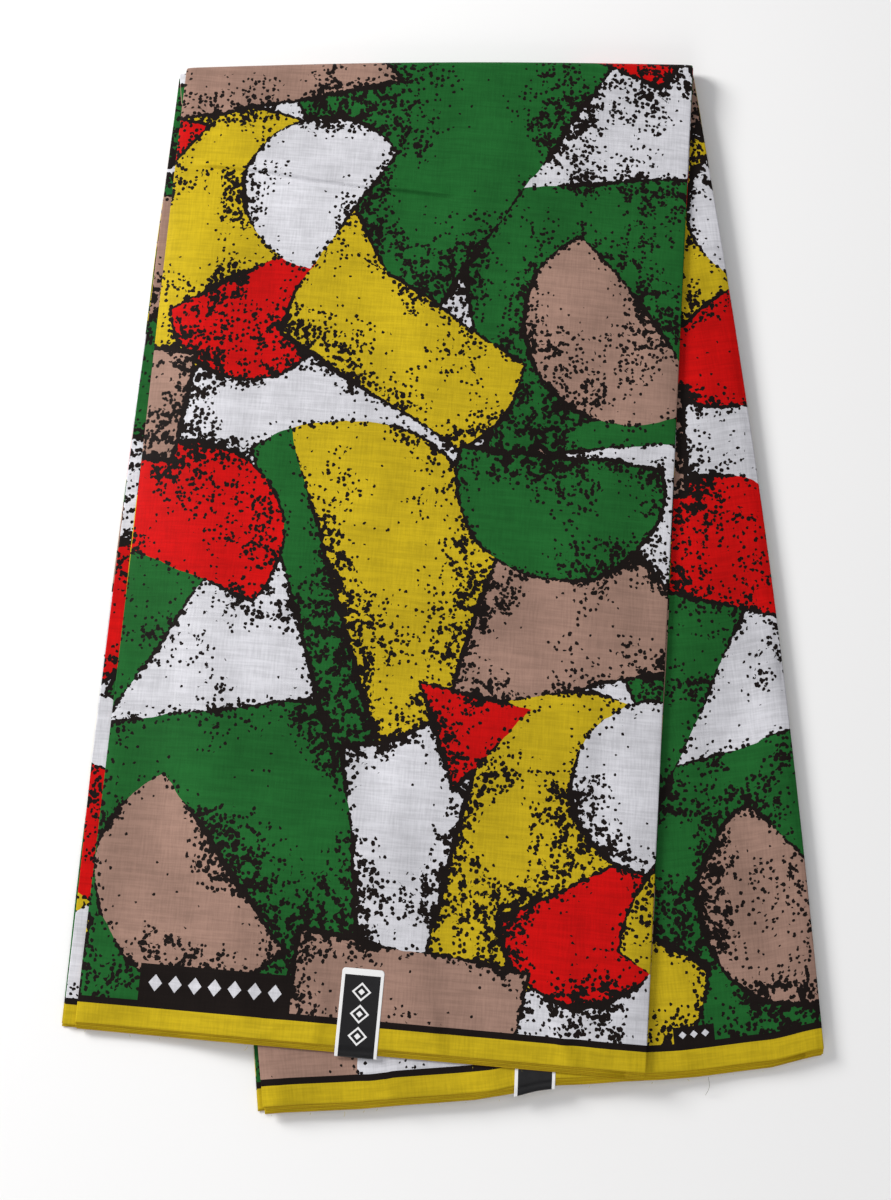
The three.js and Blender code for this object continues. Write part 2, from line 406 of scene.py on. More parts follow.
def newMaterial(name):
    material = bpy.data.materials.new(name)
    material.use_nodes = True
    return material, material.node_tree, material.node_tree.nodes["Principled BSDF"]


# The print: a generic design of cut discs, triangles and kites in flat colours, with drawn
# black outlines and stipple. Millimetres; sides are (angle of the outward normal, offset).
waxPrint = {
    "repeatU": 420.0, "repeatV": 330.0, "halfDrop": 210.0,
    # The last colour is painted shade: a dark ochre along every cloth edge, standing for the shade
    # between the stacked hems
    "colours": {"green": "#1c5a26", "yellow": "#b99f19", "red": "#bf0b0a", "taupe": "#957668",
                "white": "#c7c6ca", "black": "#181210", "edgeShade": "#a4740c"},
    "ground": "white",
    "wobbles": {"wideWobble": 4.5, "fineWobble": 1.5},  # how far the hand-cut edges wander
    "outline": 1.0,           # drawn line, half of its width
    "heavyLine": 0.8,         # how much wider it is where the ink is heavy
    "torn": 3.4,              # how far its edge is torn
    "lightReach": 2.6,        # how far from an outline the stipple thins out
    "heavyReach": 17.0,       # and how much further where the ink is heavy
    "blot": 1.0,              # how far the dots are pulled out of round
    "dotShare": (0.9, 0.02),  # how many cells hold a dot near an outline, and far from it
    "dotGrowth": (0.6, 0.8),  # how a dot's size goes with that
    "farAway": 60.0,          # distance to an outline before any is drawn
    # Layers of dots: where they lie, spacing, smallest radius and its spread in spacings
    "dots": (("everywhere", 3.1, 0.22, 0.14), ("inHeavyInk", 3.8, 0.22, 0.15),
             ("inHeavyInk", 3.3, 0.24, 0.12)),
    "selvedge": 11.0,         # plain yellow band along each hem
    "selvedgeLine": 3.5,
    "edgeShadeWidth": 0.18,        # painted shade: a darker line along each cloth edge, on the rims too, stands for the shade between the stacked hems
    "clothWidth": 1165.0,
    "threadSpacing": 1.0,     # real threads lie 0.3 mm apart: drawn coarser so that they show
    "threadBump": 0.15,
}

# Unevenness over the cloth: size in millimetres, detail, and a stretch that draws it out
# along the cloth or across it, as the thicker and thinner threads and the slubs are
plain = (1.0, 1.0, 1.0)
thread = waxPrint["threadSpacing"]
clothNoise = {
    "wideWobble": (42.0, 1.0, plain), "fineWobble": (8.0, 1.0, plain),
    "patches": (52.0, 1.0, plain), "torn": (3.6, 2.0, plain),
    "clumps": (7.0, 1.0, plain), "blots": (1.9, 1.0, plain),
    "warp": (thread, 2.0, (1.0, 0.09, 1.0)), "weft": (thread, 2.0, (0.07, 1.0, 1.0)),
    "slubs": (3.2 * thread, 2.0, (0.09, 1.0, 1.0)), "wash": (32.0, 3.0, (1.0, 0.5, 1.0)),
}
# What it does: the noise, its least and most, and the amounts that these are turned to
clothAmounts = {
    "heavy": ("patches", 0.42, 0.6, 0.0, 1.0),       # ink laid on heavily
    "drawn": ("patches", 0.33, 0.4, -0.6 * waxPrint["outline"] * mm,
              0.8 * waxPrint["outline"] * mm),       # lines fade out where the ink is thin
    "clumped": ("clumps", 0.36, 0.62, 0.3, 1.7),     # dots gather in clumps
    "thread": ("streaks", 1.15, 1.85, 0.89, 1.11),   # lighter and darker threads
    "washed": ("wash", 0.3, 0.7, 0.88, 1.12),        # and slow changes of the dye
}

# The motifs from the lowest up: a disc, where radius isn't 0, cut by the sides
motifs = (
    {"paint": "green", "centre": (60, 90), "radius": 0,
     "sides": ((10, 78), (190, 90), (100, 82), (280, 78))},
    {"paint": "taupe", "centre": (60, 84), "radius": 60, "sides": ((40, 12),)},
    {"paint": "yellow", "centre": (250, 96), "radius": 104, "sides": ((300, 44), (170, 60))},
    {"paint": "red", "centre": (262, 78), "radius": 46, "sides": ((120, 18),)},
    {"paint": "green", "centre": (360, 190), "radius": 0,
     "sides": ((90, 74), (210, 62), (330, 62))},
    {"paint": "yellow", "centre": (352, 60), "radius": 70, "sides": ((60, 30), (240, 34))},
    {"paint": "yellow", "centre": (120, 250), "radius": 92, "sides": ((200, 30),)},
    {"paint": "green", "centre": (120, 250), "radius": 92, "sides": ((20, -6), (200, 30))},
    {"paint": "red", "centre": (30, 270), "radius": 54, "sides": ((250, 20),)},
    {"paint": "taupe", "centre": (250, 250), "radius": 0,
     "sides": ((45, 44), (165, 50), (285, 48))},
    {"paint": "taupe", "centre": (178, 22), "radius": 0,
     "sides": ((84, 30), (264, 34), (354, 54), (174, 67))},
    {"paint": "red", "centre": (196, 176), "radius": 0,
     "sides": ((80, 16), (200, 20), (320, 18))},
    {"paint": "white", "centre": (300, 150), "radius": 48, "sides": ((330, 20),)},
    {"paint": "green", "centre": (236, 318), "radius": 58, "sides": ((90, 14),)},
)

# Two black blocks over the hem line, each with a row of white lozenges: where along the
# cloth, how far up from the hem line, how many
borderBlocks = (
    {"start": 31.0, "end": 112.0, "height": 19.5, "lozenges": 7},
    {"start": 1239.9, "end": 1262.1, "height": 8.5, "lozenges": 3},
)
# A lozenge: margin at each end of the row in lozenge widths, half height as a share of the
# block before it is drawn in, and how far it is drawn in
blockLozenge = {"margin": 0.3, "height": 0.34, "inset": 0.32}


# One motif laid over what is painted so far: it keeps the distance to the nearest outline
def motifGroup():
    sides = [f"Side {count}" for count in (1, 2, 3, 4)]
    tree, given = newTree("printedMotif", "ShaderNodeTree", {
        "Place": "Vector", "Colour": "Color", "Edge": "Float", "Centre": "Vector",
        "Radius": "Float", **dict.fromkeys(sides, "Vector"), "Paint": "Color",
    }, {"Colour": "Color", "Edge": "Float"})
    moved = addChain(tree, vectorKind, given["Place"], ("SUBTRACT", given["Centre"]))
    parts = addNode(tree, "ShaderNodeSeparateXYZ", {0: moved}).outputs
    row = addChain(tree, mathKind, parts[1], ("DIVIDE", waxPrint["repeatV"] * mm), ("ROUND",))
    y = addChain(tree, mathKind, row, ("MULTIPLY_ADD", -waxPrint["repeatV"] * mm, parts[1]))
    slid = addChain(tree, mathKind, row, ("MULTIPLY_ADD", -waxPrint["halfDrop"] * mm, parts[0]))
    column = addChain(tree, mathKind, slid, ("DIVIDE", waxPrint["repeatU"] * mm), ("ROUND",))
    x = addChain(tree, mathKind, column, ("MULTIPLY_ADD", -waxPrint["repeatU"] * mm, slid))
    flat = addNode(tree, "ShaderNodeCombineXYZ", {0: x, 1: y})
    withUnit = addNode(tree, "ShaderNodeCombineXYZ", {0: x, 1: y, 2: -1.0})
    reach = addChain(tree, vectorKind, flat, ("LENGTH",)).outputs["Value"]
    distance = addChain(tree, mathKind, reach, ("SUBTRACT", given["Radius"]))
    for side in sides:
        beyond = addChain(tree, vectorKind, withUnit, ("DOT_PRODUCT", given[side])).outputs["Value"]
        distance = addChain(tree, mathKind, distance, ("MAXIMUM", beyond))
    inside = addChain(tree, mathKind, distance, ("LESS_THAN", 0.0))
    away = addChain(tree, mathKind, distance, ("ABSOLUTE",))
    nearest = addChain(tree, mathKind, given["Edge"], ("MINIMUM", away))
    edge = addNode(tree, "ShaderNodeMix", {"data_type": "FLOAT", 0: inside, 2: nearest, 3: away})
    colour = addNode(tree, "ShaderNodeMix", {"data_type": "RGBA", 0: inside, 6: given["Colour"],
                                             7: given["Paint"]})
    addNode(tree, "NodeGroupOutput", {"Colour": colour.outputs[2], "Edge": edge})
    return tree


# A layer of ink dots, one to a cell: near an outline they are many and large
def stippleGroup():
    tree, given = newTree("inkStipple", "ShaderNodeTree", {
        "Place": "Vector", "Density": "Float", "Cells": "Float", "Smallest": "Float",
        "Spread": "Float"}, {"Ink": "Float"})
    cells = addNode(tree, "ShaderNodeTexVoronoi", {
        "voronoi_dimensions": "2D", "Vector": given["Place"], "Scale": given["Cells"]}).outputs
    chance = addNode(tree, "ShaderNodeSeparateColor", {0: cells["Color"]}).outputs
    radius = addChain(tree, mathKind, chance[1],
                      ("MULTIPLY_ADD", given["Spread"], given["Smallest"]))
    grown = addChain(tree, mathKind, given["Density"], ("MULTIPLY_ADD", *waxPrint["dotGrowth"]),
                     ("MULTIPLY", radius))
    within = addChain(tree, mathKind, cells["Distance"], ("LESS_THAN", grown))
    ink = addChain(tree, mathKind, chance[0], ("LESS_THAN", given["Density"]), ("MULTIPLY", within))
    addNode(tree, "NodeGroupOutput", {"Ink": ink})
    return tree


# The motifs, painted one over another: their colour and the distance to the nearest outline
def paintMotifs(tree, place, paints):
    group = motifGroup()
    colour, edge = paints[waxPrint["ground"]], waxPrint["farAway"] * mm
    for motif in motifs:
        settings = {
            "node_tree": group, "Place": place, "Colour": colour, "Edge": edge,
            "Centre": (motif["centre"][0] * mm, motif["centre"][1] * mm, 0.0),
            "Radius": (motif["radius"] or 1000) * mm, "Paint": paints[motif["paint"]],
        }
        for count in range(4):
            settings[f"Side {count + 1}"] = (0.0, 0.0, 1.0)
        for count, (angle, offset) in enumerate(motif["sides"]):
            turned = math.radians(angle)
            settings[f"Side {count + 1}"] = (math.cos(turned), math.sin(turned), offset * mm)
        painted = addNode(tree, "ShaderNodeGroup", settings)
        colour, edge = painted.outputs["Colour"], painted.outputs["Edge"]
    return colour, edge


# The selvedge borders, a line of painted shade along each cloth edge, and the black blocks on them,
# as masks with their paints
def borderMasks(tree, uv):
    parts = addNode(tree, "ShaderNodeSeparateXYZ", {0: uv}).outputs
    inward = addChain(tree, mathKind, waxPrint["clothWidth"] * mm, ("SUBTRACT", parts[1]),
                      ("MINIMUM", parts[1]))
    lineEnd = (waxPrint["selvedge"] + waxPrint["selvedgeLine"]) * mm
    masks = []
    # The last of these masks paints shade: a dark line along each cloth edge and its rim, where the
    # stacked hems shade one another
    for depth, paint in ((lineEnd, "black"), (waxPrint["selvedge"] * mm, "yellow"),
                         (waxPrint["edgeShadeWidth"] * mm, "edgeShade")):
        masks.append((addChain(tree, mathKind, inward, ("LESS_THAN", depth)), paint))
    above = addChain(tree, mathKind, inward, ("SUBTRACT", lineEnd))
    overLine = addChain(tree, mathKind, above, ("GREATER_THAN", 0.0))
    for block in borderBlocks:
        length, height = (block["end"] - block["start"]) * mm, block["height"] * mm
        start = block["start"] * mm
        margin = blockLozenge["margin"]
        cell = length / (block["lozenges"] + 2 * margin)
        aside = addChain(tree, mathKind, parts[0], ("SUBTRACT", start + length / 2), ("ABSOLUTE",))
        inHeight = addChain(tree, mathKind, above, ("LESS_THAN", height), ("MULTIPLY", overLine))
        inBlock = addChain(tree, mathKind, aside, ("LESS_THAN", length / 2), ("MULTIPLY", inHeight))
        across = addChain(tree, mathKind, parts[0], ("SUBTRACT", start + margin * cell),
                          ("PINGPONG", cell / 2), ("DIVIDE", cell / 2))
        lozenge = addChain(tree, mathKind, above, ("SUBTRACT", height / 2), ("ABSOLUTE",),
                           ("DIVIDE", height * blockLozenge["height"]), ("SUBTRACT", across),
                           ("LESS_THAN", -blockLozenge["inset"]), ("MULTIPLY", inBlock))
        inRow = addChain(tree, mathKind, aside, ("LESS_THAN", cell * block["lozenges"] / 2),
                         ("MULTIPLY", lozenge))
        masks += [(inBlock, "black"), (inRow, "white")]
    return masks


# Wax print cotton: plain weave printed through on both faces. Deep flat colours, nearly no
# shine, and fine streaks along both ways of the thread.
def waxPrintCotton():
    material, tree, shader = newMaterial("waxPrintCotton")
    paints = {name: fromHex(code) for name, code in waxPrint["colours"].items()}
    uv = addNode(tree, "ShaderNodeUVMap", {"uv_map": "UVMap"})

    noise = {}
    for name, (size, detail, stretch) in clothNoise.items():
        drawnOut = addChain(tree, vectorKind, uv, ("MULTIPLY", stretch))
        noise[name] = addNode(tree, "ShaderNodeTexNoise", {
            "noise_dimensions": "2D", "Vector": drawnOut, "Scale": 1 / (size * mm),
            "Detail": detail})
    noise["streaks"] = addChain(tree, mathKind, noise["warp"], ("ADD", noise["weft"]),
                                ("ADD", noise["slubs"]))
    amount = {}
    for name, (source, fromMin, fromMax, toMin, toMax) in clothAmounts.items():
        amount[name] = addNode(tree, "ShaderNodeMapRange", {
            "Value": noise[source], "From Min": fromMin, "From Max": fromMax, "To Min": toMin,
            "To Max": toMax})

    place = uv
    for name, reach in waxPrint["wobbles"].items():
        place = addChain(tree, vectorKind, noise[name].outputs["Color"],
                         ("SUBTRACT", (0.5, 0.5, 0.5)), ("MULTIPLY_ADD", (reach * mm,) * 3, place))
    colour, edge = paintMotifs(tree, place, paints)

    # Drawn lines, with heavy ink in slow patches
    weight = addChain(tree, mathKind, amount["heavy"],
                      ("MULTIPLY_ADD", waxPrint["heavyLine"] * mm, amount["drawn"]))
    weight = addChain(tree, mathKind, noise["torn"], ("SUBTRACT", 0.5),
                      ("MULTIPLY_ADD", waxPrint["torn"] * mm, weight))
    ink = addChain(tree, mathKind, edge, ("LESS_THAN", weight))

    # Stipple fades from the outlines into the colours
    reach = addChain(tree, mathKind, amount["heavy"],
                     ("MULTIPLY_ADD", -waxPrint["heavyReach"] * mm, -waxPrint["lightReach"] * mm))
    near = addChain(tree, mathKind, edge, ("DIVIDE", reach), ("EXPONENT",),
                    ("MULTIPLY", amount["clumped"]))
    density = {
        "everywhere": addChain(tree, mathKind, near, ("MULTIPLY_ADD", *waxPrint["dotShare"])),
        "inHeavyInk": addChain(tree, mathKind, near, ("MULTIPLY", amount["heavy"])),
    }
    blotted = addChain(tree, vectorKind, noise["blots"].outputs["Color"],
                       ("MULTIPLY_ADD", (waxPrint["blot"] * mm,) * 3, uv))
    stipple = stippleGroup()
    for where, spacing, smallest, spread in waxPrint["dots"]:
        dots = addNode(tree, "ShaderNodeGroup", {
            "node_tree": stipple, "Place": blotted, "Density": density[where],
            "Cells": 1 / (spacing * mm), "Smallest": smallest, "Spread": spread})
        ink = addChain(tree, mathKind, ink, ("MAXIMUM", dots))

    for mask, paint in [(ink, "black")] + borderMasks(tree, uv):
        colour = addNode(tree, "ShaderNodeMix", {
            "data_type": "RGBA", 0: mask, 6: colour, 7: paints[paint]}).outputs[2]
    value = addChain(tree, mathKind, amount["thread"], ("MULTIPLY", amount["washed"]))
    dyed = addNode(tree, "ShaderNodeHueSaturation", {"Value": value, "Color": colour})
    bump = addNode(tree, "ShaderNodeBump", {
        "Strength": 0.25, "Distance": waxPrint["threadBump"] * mm, "Height": noise["streaks"]})
    addNode(tree, shader, {"Base Color": dyed, "Roughness": 0.6, "Specular IOR Level": 0.06,
                           "Normal": bump})
    return material


cotton = waxPrintCotton()
print("scene: the wax print is drawn")


# Relief of the faces that show, in millimetres: air under them, slow waves, pressed creases

relief = {
    "puff": 0.9,              # air under the top layer, away from its edges
    "puffWidth": 26.0,
    "wave": 0.6,
    "waveGain": 1.8,
    "deepest": -0.3,          # a trough stays above the layer beneath
    "frontRim": 4.0,          # how far in from the edges the creases gain their height
    "rightRim": 6.0,
    "coverRim": 18.0,         # the same, out from under the front stack
    "rightShift": 90.0,       # the right stack's waves are not the front's
    "creaseWander": (0.6, 17),  # how far a crease wanders sideways, and over what length
    "creaseEnd": 14,          # length over which it fades out
    "creaseUneven": (0.25, 11),  # how much its height changes, and over what length
    "creases": (
        # from, to, width, height, lean: below zero is a trough; a lean over one makes its
        # left-hand side, seen along the way, the gentle one
        ((12.0, -59.8), (156.6, -80.1), 2.2, 2.5, 2.4),
        ((146.0, -79.0), (216.0, -91.0), 1.8, 0.9, 1.8),
        ((18.7, -62.2), (156.6, -81.6), 0.8, -0.9, 1.0),
        ((228.0, -96.0), (252.0, -101.0), 2.8, 0.5, 1.4),
        ((22.0, -176.0), (96.0, -178.0), 3.0, 0.4, 1.4),
        ((226.0, -178.0), (246.0, -186.0), 4.0, -0.6, 1.0),
        ((133.0, -38.0), (131.0, -52.0), 5.0, -0.7, 1.0),
        ((306.0, -124.0), (309.0, -140.0), 7.0, -0.7, 1.0),
        ((90.0, -530.0), (85.0, -560.0), 4.0, 1.9, 0.7),
        ((53.0, -556.0), (70.0, -547.0), 2.4, 1.5, 1.4),
        ((152.0, -566.0), (147.0, -538.0), 3.5, 1.8, 1.4),
        ((166.0, -567.0), (173.0, -546.0), 3.0, -0.8, 1.0),
        ((212.0, -552.0), (222.0, -574.0), 3.4, 2.0, 1.5),
        ((229.0, -561.0), (246.0, -565.0), 2.4, 1.7, 1.5),
        ((246.0, -555.0), (252.0, -575.0), 3.4, 1.6, 0.8),
        ((266.0, -545.0), (263.0, -574.0), 6.0, -0.9, 1.0),
        ((276.0, -554.0), (281.0, -573.0), 3.5, 1.2, 1.0),
        ((67.5, -576.0), (69.0, -592.0), 3.0, 1.5, 1.0),
        ((108.0, -577.0), (131.0, -589.0), 2.6, 1.8, 1.8),
        ((157.5, -574.0), (159.0, -590.0), 3.2, 1.6, 1.0),
        ((60.0, -300.0), (180.0, -316.0), 7.0, -0.45, 1.0),
        ((120.0, -420.0), (236.0, -404.0), 8.0, 0.45, 1.0),
        ((243.0, -330.0), (236.0, -470.0), 9.0, -0.8, 1.0),
        ((262.0, -330.0), (258.0, -500.0), 8.0, -0.5, 1.0),
    ),
    "hiddenCreases": (
        ((90.0, -120.0), (240.0, -150.0), 2.4, -0.25, 1.0),
        ((110.0, -330.0), (290.0, -318.0), 3.0, -0.22, 1.0),
        ((150.0, -470.0), (310.0, -492.0), 2.6, -0.24, 1.0),
    ),
}


# Each crease wanders a little, fades out at its ends and is uneven along its length
def creaseRelief(creases, x, y):
    wander, wanderLength = relief["creaseWander"]
    change, changeLength = relief["creaseUneven"]
    end = relief["creaseEnd"]
    height = np.zeros_like(x)
    for (fromX, fromY), (toX, toY), width, rise, lean in creases:
        length = math.hypot(toX - fromX, toY - fromY)
        wayX, wayY = (toX - fromX) / length, (toY - fromY) / length
        along = (x - fromX) * wayX + (y - fromY) * wayY
        aside = (y - fromY) * wayX - (x - fromX) * wayY
        aside = aside - wander * np.sin(along / wanderLength + fromX)
        fade = smooth(along / end + 0.5) * smooth((length - along) / end + 0.5)
        uneven = 1 - change + change * np.sin(along / changeLength + fromY)
        off = np.abs(aside) / np.where(aside > 0, width * lean, width / lean)
        crest = 0.5 * np.exp(-off ** 2) + 0.5 * np.exp(-off / 0.7)
        height = height + rise * fade * uneven * crest
    return height


# Waves that cross each other: turn per millimetre across and along, and where they start
def slowWaves(x, y):
    waves = ((0.047, 0.021, 0.4), (-0.018, 0.052, 1.9), (0.071, -0.044, 3.1),
             (0.031, 0.083, 5.2), (-0.094, 0.026, 0.9), (0.012, -0.107, 2.4))
    total = sum(np.sin(a * x + b * y + start) for a, b, start in waves)
    return total / len(waves) * relief["waveGain"]


# Creases pressed into the under side never stand out from it
def hiddenRelief(x, y):
    return np.minimum(creaseRelief(relief["hiddenCreases"], x, y), 0)


# How far a place lies inside a stack's edges
def edgeInside(name, x, y):
    across, along = acrossAlong(name, x, y)
    sides = np.minimum(across, 1 - across) * bundle["panelWidth"]
    ends = np.minimum(along, 1 - along) * bundle["stackLength"]
    return np.clip(np.minimum(sides, ends), 0, None)


def frontRelief(x, y):
    inside = edgeInside("front", x, y)
    raised = 1 - np.exp(-inside / relief["puffWidth"])
    calm = smooth(inside / relief["frontRim"])
    face = raised * (relief["puff"] + relief["wave"] * slowWaves(x, y))
    return np.maximum(face + calm * creaseRelief(relief["creases"], x, y), relief["deepest"])


def rightRelief(x, y):
    shows = smooth(distanceOutside("front", x, y) / relief["coverRim"])
    calm = smooth(edgeInside("right", x, y) / relief["rightRim"])
    waves = relief["wave"] * (1 + slowWaves(x + relief["rightShift"], y))
    face = waves + creaseRelief(relief["creases"], x, y)
    return np.maximum(shows * calm * face, relief["deepest"])


# The outermost layer of each pair of stacks

def leafPiece(name, strip, faceRelief):
    along, turn = stripRows(strip["rowStep"], layers["underRowStep"], layers["leafHem"],
                            layers["underLeafHem"], strip["fineBands"])
    place, level, foldColumn = leafSection(strip["columnStep"])
    points = stripPoints(strip, place / bundle["panelWidth"], level, along, turn, faceRelief)
    lengths = sectionLengths(place, level)
    u = np.tile(strip["clothStart"] + lengths - lengths[foldColumn], (len(along), 1))
    v = hemToHem(points)
    made = gridObject(name, points, u, v, cotton)
    addThickness(made, layers["thickness"])
    settleModifiers(made)
    return made, strip["clothStart"] + lengths[-1] - lengths[foldColumn]


outerLeaf, outerCloth = leafPiece("outer_leaf", strips["outer"], frontRelief)
innerLeaf, innerCloth = leafPiece("inner_leaf", strips["inner"], rightRelief)
print("scene: the two outer layers are laid")


# Zigzag folding: copies one pair of panels down through the bundle, each a little askew

folding = {
    "sideUneven": 200.0,     # length along the cloth over which a fold wanders in and out
    "hemUneven": 90.0,
    "noiseLeast": 0.28, "noiseMost": 0.72,
    "pairSalt": 3.7,         # keeps the pairs and their edges from wandering alike
    "edgeSalts": (0.0, 17.0, 41.0),
    "edgeReach": 40.0,       # how far in from an edge the wander is felt
}


def foldingTree():
    tree, given = newTree("zigzagFolds", "GeometryNodeTree", {
        "Geometry": "Geometry", "Pairs": "Int", "Pair Pitch": "Float", "Cloth Per Pair": "Float",
        "Side Spill": "Float", "Side Wander": "Float", "Hem Wander": "Float",
        "Hem Step": "Float", "Seed": "Float", "Cloth": "Material"}, {"Geometry": "Geometry"})
    line = addNode(tree, "GeometryNodeMeshLine", {
        "mode": "OFFSET", "Count": given["Pairs"], "Offset": (0.0, 0.0, 0.0)})
    copies = addNode(tree, "GeometryNodeInstanceOnPoints", {
        "Points": line, "Instance": given["Geometry"]})
    number = addNode(tree, "GeometryNodeInputIndex", {})
    numbered = addNode(tree, "GeometryNodeStoreNamedAttribute", {
        "data_type": "FLOAT", "domain": "INSTANCE", "Geometry": copies, "Name": "pairNumber",
        "Value": number})
    real = addNode(tree, "GeometryNodeRealizeInstances", {"Geometry": numbered})

    stored = {}
    for name, kind in (("pairNumber", "FLOAT"), ("leftReach", "FLOAT"), ("rightReach", "FLOAT"),
                       ("hemReach", "FLOAT"), ("layerUp", "FLOAT_VECTOR"),
                       ("dropSlope", "FLOAT_VECTOR"), ("clothPlace", "FLOAT_VECTOR"),
                       ("UVMap", "FLOAT_VECTOR")):
        stored[name] = addNode(tree, "GeometryNodeInputNamedAttribute", {
            "data_type": kind, "Name": name}).outputs["Attribute"]
    pair = stored["pairNumber"]
    sunk = addChain(tree, mathKind, pair, ("MULTIPLY", given["Pair Pitch"]), ("MULTIPLY", -1.0))
    down = addNode(tree, vectorKind, {
        "operation": "SCALE", 0: stored["layerUp"], "Scale": sunk})
    seeded = addChain(tree, mathKind, pair, ("MULTIPLY_ADD", folding["pairSalt"], given["Seed"]))

    # An uneven inset for each copy, slow along the cloth
    outward = addChain(tree, mathKind, given["Side Spill"], ("MULTIPLY", -1.0))
    side = (folding["sideUneven"], outward, given["Side Wander"])
    hem = (folding["hemUneven"], 0.0, given["Hem Wander"])
    insets = []
    for attribute, (size, least, most), salt in zip(
            ("leftReach", "rightReach", "hemReach"), (side, side, hem), folding["edgeSalts"]):
        noise = addNode(tree, "ShaderNodeTexNoise", {
            "noise_dimensions": "4D", "Vector": stored["clothPlace"],
            "W": addChain(tree, mathKind, seeded, ("ADD", salt)), "Scale": 1 / (size * mm),
            "Detail": 1.0})
        wander = addNode(tree, "ShaderNodeMapRange", {
            "Value": noise, "From Min": folding["noiseLeast"], "From Max": folding["noiseMost"],
            "To Min": least, "To Max": most})
        insets.append(addChain(tree, mathKind, wander, ("MULTIPLY", stored[attribute])))
    fromLeft, fromRight, fromHem = insets
    stepped = addChain(tree, mathKind, given["Pairs"], ("SUBTRACT", pair),
                       ("MULTIPLY", given["Hem Step"]), ("MULTIPLY", stored["hemReach"]))
    dx = addChain(tree, mathKind, fromLeft, ("SUBTRACT", fromRight))
    dy = addChain(tree, mathKind, fromHem, ("ADD", stepped))
    inPlan = addNode(tree, "ShaderNodeCombineXYZ", {0: dx, 1: dy})
    fall = addChain(tree, vectorKind, inPlan, ("DOT_PRODUCT", stored["dropSlope"]))
    dz = addChain(tree, mathKind, fall.outputs["Value"], ("MULTIPLY", -1.0))
    shift = addNode(tree, "ShaderNodeCombineXYZ", {0: dx, 1: dy, 2: dz})
    offset = addChain(tree, vectorKind, down, ("ADD", shift))
    moved = addNode(tree, "GeometryNodeSetPosition", {"Geometry": real, "Offset": offset})

    # The print goes on along the cloth from pair to pair
    cloth = addChain(tree, mathKind, pair, ("MULTIPLY", given["Cloth Per Pair"]))
    onward = addNode(tree, "ShaderNodeCombineXYZ", {0: cloth})
    uv = addChain(tree, vectorKind, stored["UVMap"], ("ADD", onward))
    mapped = addNode(tree, "GeometryNodeStoreNamedAttribute", {
        "data_type": "FLOAT2", "domain": "CORNER", "Geometry": moved, "Name": "UVMap",
        "Value": uv})
    return finishTree(tree, mapped, given["Cloth"])


def setInputs(modifier, values):
    for item in modifier.node_group.interface.items_tree:
        if item.item_type == "SOCKET" and item.in_out == "INPUT" and item.name in values:
            modifier[item.identifier] = values[item.name]


zigzagFolds = foldingTree()


def layersPiece(name, strip, clothStart, seed):
    width, lowestHem, rowStep = bundle["panelWidth"], layers["lowestHem"], layers["hiddenRowStep"]
    along, turn = stripRows(rowStep, rowStep, lowestHem, lowestHem)
    place, level = pairSection(layers["hiddenColumnStep"])
    points = stripPoints(strip, place / width, level, along, turn)
    u = np.tile(clothStart + sectionLengths(place, level), (len(along), 1))
    v = hemToHem(points)
    made = gridObject(name, points, u, v, cotton)

    # What the folding tree reads: the way up through the layers, how the stack's drop slopes,
    # the place along the cloth, and how near each edge is
    flat = (np.sin(turn) < 1e-6)[:, None]
    layerUp, slope, clothPlace = np.zeros((3,) + points.shape)
    layerUp[..., 1], layerUp[..., 2] = np.sin(turn)[:, None], np.cos(turn)[:, None]
    clothPlace[..., 0] = v * mm
    x, y = points[..., 0] + originX, points[..., 1] + originY
    for stack, rows in ((strip["top"], turn < 1.5), (strip["under"], turn >= 1.5)):
        here = rows[:, None] & flat
        base = settleDrop(stack, x, y)
        slope[..., 0] = np.where(here, settleDrop(stack, x + 1, y) - base, slope[..., 0])
        slope[..., 1] = np.where(here, settleDrop(stack, x, y + 1) - base, slope[..., 1])
    reach = folding["edgeReach"]
    fromHem = (1 - along[:, None]) * bundle["stackLength"]
    ones = np.ones(points.shape[:2])
    for attribute, values in (
            ("layerUp", layerUp), ("dropSlope", slope), ("clothPlace", clothPlace),
            ("leftReach", ones * (1 - smooth(place / reach))),
            ("rightReach", ones * (1 - smooth((width - place) / reach))),
            ("hemReach", ones * np.where(flat, 1 - smooth(fromHem / reach), 0))):
        addAttribute(made, attribute, values)

    folds = made.modifiers.new("zigzagFolds", "NODES")
    folds.node_group = zigzagFolds
    setInputs(folds, {
        "Pairs": layers["pairs"], "Pair Pitch": 2 * layers["pitch"] * mm,
        "Cloth Per Pair": 2 * width * mm, "Side Spill": layers["sideSpill"] * mm,
        "Side Wander": layers["sideWander"] * mm, "Hem Wander": layers["hemWander"] * mm,
        "Hem Step": layers["hemStep"] * mm, "Seed": seed, "Cloth": cotton,
    })
    addThickness(made, layers["thickness"])
    settleModifiers(made)
    return made


outerLayers = layersPiece("outer_layers", strips["outer"], outerCloth, 2.0)
innerLayers = layersPiece("inner_layers", strips["inner"], innerCloth, 9.0)
for piece in (outerLeaf, innerLeaf, outerLayers, innerLayers):
    print("scene:", piece.name, len(piece.data.polygons), "faces")


# The two stuck labels: plain black film with a white edge, one over the front hem and one
# under it on the right stack's hem

